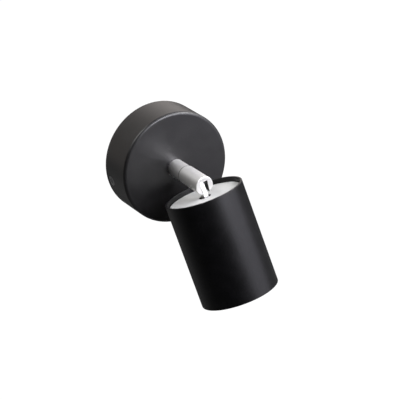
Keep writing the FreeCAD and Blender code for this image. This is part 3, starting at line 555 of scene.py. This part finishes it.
def nippleTree():   # a hollow threaded tube
    t = Shape("threadedTube", **stemTube)
    core = t.size("radius") - t.size("pitch") * threadShape["core"]
    tube = t.nest(roundTube, radius=core, wall=core - t.size("bore"), start=t.size("start"),
                  length=t.size("length"), rim=0.15, sides=48)
    thread = t.nest(threadRidge, radius=t.size("radius"), pitch=t.size("pitch"),
                    start=t.size("start") + t.size("pitch") / 2, length=t.size("length") - t.size("pitch"))
    return t.end(t.join(tube, thread))


grow("stemTube", nippleTree(), wallPlace, stemTube, zincPlate, "wall", "threaded_nipple")

starWasher = {"bore": 5.2, "radius": 8.2, "start": 26.15, "thickness": 0.8, "teeth": 12, "twist": 0.3}
toothShape = {"band": 0.45, "reach": 0.62, "width": 0.24, "height": 0.55}   # shares of the washer's own sizes


def toothTree():   # a ring with twisted teeth round its outside
    t = Shape("toothedRing", **starWasher)
    breadth = t.size("radius") - t.size("bore")
    band, tip = breadth * toothShape["band"], breadth * toothShape["reach"]
    ring = t.nest(roundTube, radius=t.size("bore") + band, wall=band, start=t.size("start"),
                  length=t.size("thickness"), rim=0.1, sides=60)
    tooth = t.node("GeometryNodeMeshCube", None, t.vector(
        tip, t.size("radius") * toothShape["width"], t.size("thickness") * toothShape["height"]))
    twist = t.node("FunctionNodeEulerToRotation", None, t.vector(x=t.size("twist")))
    tooth = t.node("GeometryNodeTransform", None, tooth, Rotation=twist)
    places = t.node("GeometryNodeMeshCircle", None, Vertices=t.size("teeth"), Radius=t.size("radius") - tip / 2)
    outwards = t.node("GeometryNodeInputPosition")
    turn = t.node("FunctionNodeAlignRotationToVector", {"axis": "X"}, Vector=outwards)
    teeth = t.node("GeometryNodeInstanceOnPoints", None, places, Instance=tooth, Rotation=turn)
    return t.end(t.join(ring, t.lift(teeth, t.size("start") + t.size("thickness") / 2)))


grow("starWasher", toothTree(), wallPlace, starWasher, zincPlate, "wall", "lock_washer")

mirrorBowl = {
    "throat": 10.3, "mouth": 21.95, "low": 44.25, "high": 68.85, "bulge": 2.55, "around": 36, "rows": 9,
}
mergeGap = 0.01


def facetTree():   # the mirror inside the lamp: a bulging bowl in flat facets, bent from a grid
    t = Shape("facetBowl", **mirrorBowl)
    grid = t.node("GeometryNodeMeshGrid", None, Size_X=1.0, Size_Y=1.0, Vertices_X=t.size("around") + 1,
                  Vertices_Y=t.size("rows") + 1)
    x, y, z = t.split(t.node("GeometryNodeInputPosition"))
    angle, along = x * math.tau, y + 0.5
    width, depth = t.size("mouth") - t.size("throat"), t.size("high") - t.size("low")
    swell = along * (1 - along) * 4 * t.size("bulge") / reach(width, depth)   # square to the bowl's slope
    radius = t.size("throat") + width * along + swell * depth
    height = t.size("low") + depth * along - swell * width
    bowl = t.node("GeometryNodeSetPosition", None, grid, Position=t.vector(
        radius * angle.cosine(), radius * angle.sine(), height))
    return t.end(t.node("GeometryNodeMergeByDistance", None, bowl, Distance=mergeGap))


grow("mirrorBowl", facetTree(), headPlace, mirrorBowl, mirrorLayer, "lamp", shell=0.05)

print("camera, stage and lights")
camera = {   # from the photograph's outlines: angles in degrees, lengths in mm
    "turn": -23.531, "rise": 27.838, "roll": -13.998, "distance": 1247.005,
    "aim": (0, -30, -20), "shiftRight": -11.283, "shiftUp": 4.395, "lens": 162.0, "sensor": 36, "clip": 10,
}
turn, rise, roll = (math.radians(camera[k]) for k in ("turn", "rise", "roll"))
right = Vector((math.cos(turn), math.sin(turn), 0))
up = Vector((-math.sin(turn) * math.sin(rise), math.cos(turn) * math.sin(rise), math.cos(rise)))
back = Vector((math.sin(turn) * math.cos(rise), -math.cos(turn) * math.cos(rise), math.sin(rise)))
rolledRight = math.cos(roll) * right + math.sin(roll) * up
rolledUp = -math.sin(roll) * right + math.cos(roll) * up
eye = Vector(camera["aim"]) + back * camera["distance"]
eye = (eye - rolledRight * camera["shiftRight"] - rolledUp * camera["shiftUp"]) * mm
cameraObject = bpy.data.objects.new("camera", bpy.data.cameras.new("camera"))
cameraObject.data.lens = camera["lens"]
cameraObject.data.sensor_width = camera["sensor"]
cameraObject.data.clip_start = camera["clip"] * mm
cameraTurn = Matrix((rolledRight, rolledUp, back)).transposed()
cameraObject.matrix_world = Matrix.Translation(eye) @ cameraTurn.to_4x4()
bpy.context.collection.objects.link(cameraObject)
bpy.context.scene.camera = cameraObject
bpy.context.scene.view_settings.view_transform = "Standard"

# the floor, in m: x runs to the right along the wall and y back through it; metal and gloss mirror the two glows
stage = {
    "size": 8.0, "drop": 0.30, "grey": (0.14, 0.14, 0.14),
    "white": 0.93, "farWhite": 1.0, "farEdge": (0.3, 0.9),
    "glowRight": 0.08, "rightX": (-0.05, 0.25), "rightY": (-0.1, 0.35),
    "glowLeft": 0.14, "leftX": (-0.3, 0.0), "leftY": (0.1, 0.4),
}
# what metal and gloss mirror by direction: brightness from the right, dimmer low down behind, and a glow behind
studio = {
    "wall": 1.1, "wallEdge": (-0.20, 0.80), "behind": 0.42, "behindEdge": (0.3, 0.9),
    "lowEdge": (-0.6, 0.3), "lowShade": 0.5, "fill": 0.02,
}
tints = {
    "cool": (0.97, 0.97, 1.05), "blue": (0.98, 0.96, 1.08),
    "warm": (1.05, 0.97, 0.92), "plain": (1.0, 1.0, 0.99),
}
lightAim = (0, -0.05, -0.03)   # the point in m that every light looks at
softLights = {   # the way to each from there; sizes and distances in m, power in W
    "keyLight": {"way": (0.36, -0.75, 0.56), "distance": 0.40, "size": 0.30, "power": 2.4, "tint": "cool"},
    "frontRight": {"way": (0.68, -0.73, 0.10), "distance": 0.60, "size": 0.68, "power": 1.9, "tint": "blue"},
    "rightAbove": {"way": (0.80, -0.19, 0.56), "distance": 0.90, "size": 0.45, "power": 6.6, "tint": "plain"},
    "leftAbove": {"way": (-0.40, 0.25, 0.88), "distance": 0.90, "size": 0.50, "power": 3.9, "tint": "plain"},
}


def seenBy(tree):   # which rays see the pale background: the camera's, and glossy or transmitted ones
    isCamera = tree.node("ShaderNodeLightPath")
    return isCamera, tree.other(isCamera, "Is Glossy Ray").high(tree.other(isCamera, "Is Transmission Ray"))


floorMesh = bpy.data.meshes.new("floor")
half, drop = stage["size"] / 2, -stage["drop"]
corners = [(-half, -half, drop), (half, -half, drop), (half, half, drop), (-half, half, drop)]
floorMesh.from_pydata(corners, [], [(0, 1, 2, 3)])
floor = bpy.data.objects.new("floor", floorMesh)
bpy.context.collection.objects.link(floor)
floorPaint, tree = newMaterial("floorPaint")
isCamera, isMirrored = seenBy(tree)
x, y, z = tree.split(placed(tree))
white = stage["white"] + reach(x, y).ease(*stage["farEdge"]) * (stage["farWhite"] - stage["white"])
glow = x.ease(*stage["rightX"]) * (1 - y.ease(*stage["rightY"])) * stage["glowRight"]
glow = glow + (1 - x.ease(*stage["leftX"])) * y.ease(*stage["leftY"]) * stage["glowLeft"]
pale = tree.node("ShaderNodeBsdfDiffuse", None, colour(*stage["grey"]))
shine = tree.node("ShaderNodeEmission", None, colour(1, 1, 1), isCamera * white + isMirrored * glow)
both = tree.node("ShaderNodeAddShader", None, pale, shine)
fromBelow = tree.other(tree.node("ShaderNodeNewGeometry"), "Backfacing")   # where the object still shows
both = tree.node("ShaderNodeMixShader", None, fromBelow, both, tree.node("ShaderNodeBsdfTransparent"))
tree.node("ShaderNodeOutputMaterial", None, both)
floorMesh.materials.append(floorPaint)

sky = bpy.data.worlds.new("sky")
bpy.context.scene.world = sky
sky.use_nodes = True
sky.node_tree.nodes.clear()
tree = Tree(sky.node_tree)
isCamera, isMirrored = seenBy(tree)
across, behind, above = tree.split(tree.node("ShaderNodeTexCoord"))   # the direction of the ray
rear = behind.ease(*studio["behindEdge"])
lowRear = rear * (1 - above.ease(*studio["lowEdge"])) * studio["lowShade"]
mirrored = across.ease(*studio["wallEdge"]) * studio["wall"] * (1 - lowRear) + rear * studio["behind"]
strength = isCamera + isMirrored * mirrored + (1 - isCamera.high(isMirrored)) * studio["fill"]
tint = tree.mixColours(rear, colour(*tints["cool"]), colour(*tints["warm"]))
tint = tree.mixColours(isCamera, tint, colour(1, 1, 1))
tree.node("ShaderNodeOutputWorld", None, tree.node("ShaderNodeBackground", None, tint, strength))

for name, light in softLights.items():
    data = bpy.data.lights.new(name, "AREA")
    data.shape = "DISK"
    data.size = light["size"]
    data.energy = light["power"]
    data.color = tints[light["tint"]]
    lamp = bpy.data.objects.new(name, data)
    away = Vector(light["way"]).normalized()
    facing = away.to_track_quat("Z", "Y").to_matrix().to_4x4()
    lamp.matrix_world = Matrix.Translation(Vector(lightAim) + away * light["distance"]) @ facing
    bpy.context.collection.objects.link(lamp)
